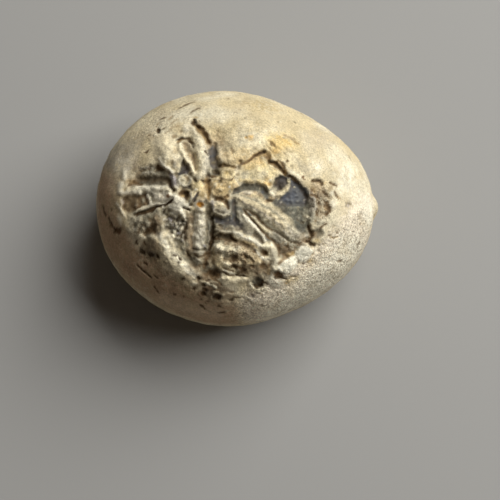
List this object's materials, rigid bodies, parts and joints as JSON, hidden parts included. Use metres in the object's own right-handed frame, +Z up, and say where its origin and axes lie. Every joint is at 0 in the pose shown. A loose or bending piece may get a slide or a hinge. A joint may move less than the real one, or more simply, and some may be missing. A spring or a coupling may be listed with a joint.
{
  "type": "fossil sea urchin",
  "caption": "Loose egg-shaped stone holding a fossil sea urchin, with a worn star of ribbed rays on its upper face and a flat worn base.",
  "frame": {"origin": "middle of the worn flat that the stone rests on, under the middle of its plan", "axes": "+X along the stone's long axis towards its blunt nose, +Y away from the viewer, +Z up out of the star's face"},
  "size_m": [0.0564, 0.0471, 0.0318],
  "materials": {
    "chalky_flint": "dull cream cortex with ochre stain, slate-grey glossy flint where the star is broken open"
  },
  "bodies": {
    "root": {"fossil_urchin": "chalky_flint"}
  },
  "joints": []
}
